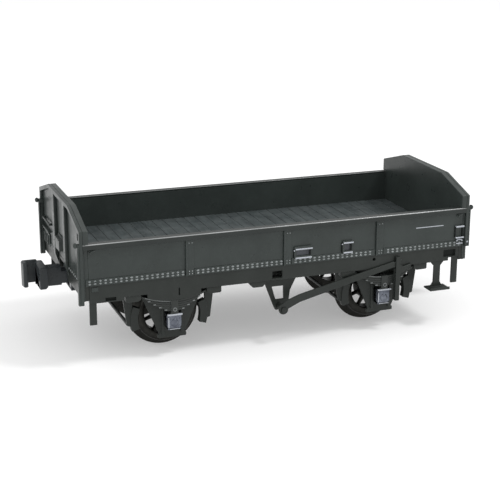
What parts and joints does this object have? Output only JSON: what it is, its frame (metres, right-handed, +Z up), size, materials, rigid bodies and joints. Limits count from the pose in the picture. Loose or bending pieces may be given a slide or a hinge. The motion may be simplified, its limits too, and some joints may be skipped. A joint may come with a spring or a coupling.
{
  "type": "model open wagon",
  "caption": "Low-sided two-axle open goods wagon model for narrow model track, with raised ends, hook couplers and a long brake lever.",
  "frame": {"origin": "middle of the wagon in plan, at the lowest point of the wheel flanges", "axes": "+X along the wagon, towards the right end seen from the near side; +Y towards the far side; +Z up"},
  "size_m": [0.0448, 0.018, 0.0141],
  "materials": {
    "body_paint": "matt black paint, slightly green, with a soft sheen",
    "floor_paint": "matt black paint worn a little grey",
    "underframe_paint": "matt black paint",
    "axlebox_gloss": "glossy black over a casting",
    "wheel_metal": "chemically blackened",
    "axle_steel": "turned",
    "bearing_brass": "turned",
    "bush_plastic": "moulded",
    "weight_steel": "plain sheet",
    "screw_steel": "blackened heads",
    "spring_steel": "bright wire",
    "coupler_plastic": "moulded black"
  },
  "bodies": {
    "wagon": {"axle_guard_left_far": "underframe_paint", "axle_guard_left_near": "underframe_paint", "axle_guard_right_far": "underframe_paint", "axle_guard_right_near": "underframe_paint", "axlebox_left_far": "axlebox_gloss", "axlebox_left_near": "axlebox_gloss", "axlebox_right_far": "axlebox_gloss", "axlebox_right_near": "axlebox_gloss", "ballast_weight": "weight_steel", "brake_blocks": "underframe_paint", "brake_lever_far": "underframe_paint", "brake_lever_near": "underframe_paint", "brake_rigging": "underframe_paint", "brake_shaft": "underframe_paint", "chassis_plate": "underframe_paint", "corner_fittings": "body_paint", "corner_irons": "underframe_paint", "corner_posts": "body_paint", "coupler_pockets": "coupler_plastic", "curb_angles": "body_paint", "door_stops": "underframe_paint", "end_fittings": "body_paint", "end_plate_left": "body_paint", "end_plate_right": "body_paint", "end_stiffeners_left": "body_paint", "end_stiffeners_right": "body_paint", "headstock_left": "underframe_paint", "headstock_right": "underframe_paint", "label_holders": "body_paint", "leaf_spring_left_far": "underframe_paint", "leaf_spring_left_near": "underframe_paint", "leaf_spring_right_far": "underframe_paint", "leaf_spring_right_near": "underframe_paint", "lever_guides": "underframe_paint", "load_floor": "floor_paint", "pinpoint_bearings": "bearing_brass", "pocket_covers": "coupler_plastic", "screws": "screw_steel", "side_sheet_far": "body_paint", "side_sheet_near": "body_paint", "side_stanchions": "body_paint", "side_steps": "underframe_paint", "solebar_far": "underframe_paint", "solebar_near": "underframe_paint", "spring_shoes": "underframe_paint", "top_rail_far": "body_paint", "top_rail_near": "body_paint", "vee_hangers": "underframe_paint"},
    "wheelset_left": {"axle_left": "axle_steel", "wheel_left_near": "wheel_metal", "wheel_left_far": "wheel_metal", "axle_bushes_left": "bush_plastic"},
    "wheelset_right": {"axle_right": "axle_steel", "wheel_right_near": "wheel_metal", "wheel_right_far": "wheel_metal", "axle_bushes_right": "bush_plastic"},
    "coupler_swivel_left": {"coupler_spring_left": "spring_steel"},
    "coupler_swivel_right": {"coupler_spring_right": "spring_steel"},
    "coupler_hook_left": {"coupler_left": "coupler_plastic"},
    "coupler_hook_right": {"coupler_right": "coupler_plastic"}
  },
  "joints": [
    {"name": "wheelset_left_spin", "type": "hinge", "parent": "wagon", "child": "wheelset_left", "pos_m": [-0.0104, 0, 0.0034], "axis": [0, 1, 0], "continuous": true},
    {"name": "wheelset_right_spin", "type": "hinge", "parent": "wagon", "child": "wheelset_right", "pos_m": [0.0104, 0, 0.0034], "axis": [0, 1, 0], "continuous": true},
    {"name": "coupler_left_swing", "type": "hinge", "parent": "wagon", "child": "coupler_swivel_left", "pos_m": [-0.01775, 0, 0.00635], "axis": [0, 0, 1], "range_deg": [-10, 10], "stiffness_Nm_per_rad": 0.0005},
    {"name": "coupler_left_lift", "type": "hinge", "parent": "coupler_swivel_left", "child": "coupler_hook_left", "pos_m": [-0.01775, 0, 0.00635], "axis": [0, 1, 0], "range_deg": [0, 7], "stiffness_Nm_per_rad": 0.0005},
    {"name": "coupler_right_swing", "type": "hinge", "parent": "wagon", "child": "coupler_swivel_right", "pos_m": [0.01775, 0, 0.00635], "axis": [0, 0, 1], "range_deg": [-10, 10], "stiffness_Nm_per_rad": 0.0005},
    {"name": "coupler_right_lift", "type": "hinge", "parent": "coupler_swivel_right", "child": "coupler_hook_right", "pos_m": [0.01775, 0, 0.00635], "axis": [0, -1, 0], "range_deg": [0, 7], "stiffness_Nm_per_rad": 0.0005}
  ]
}
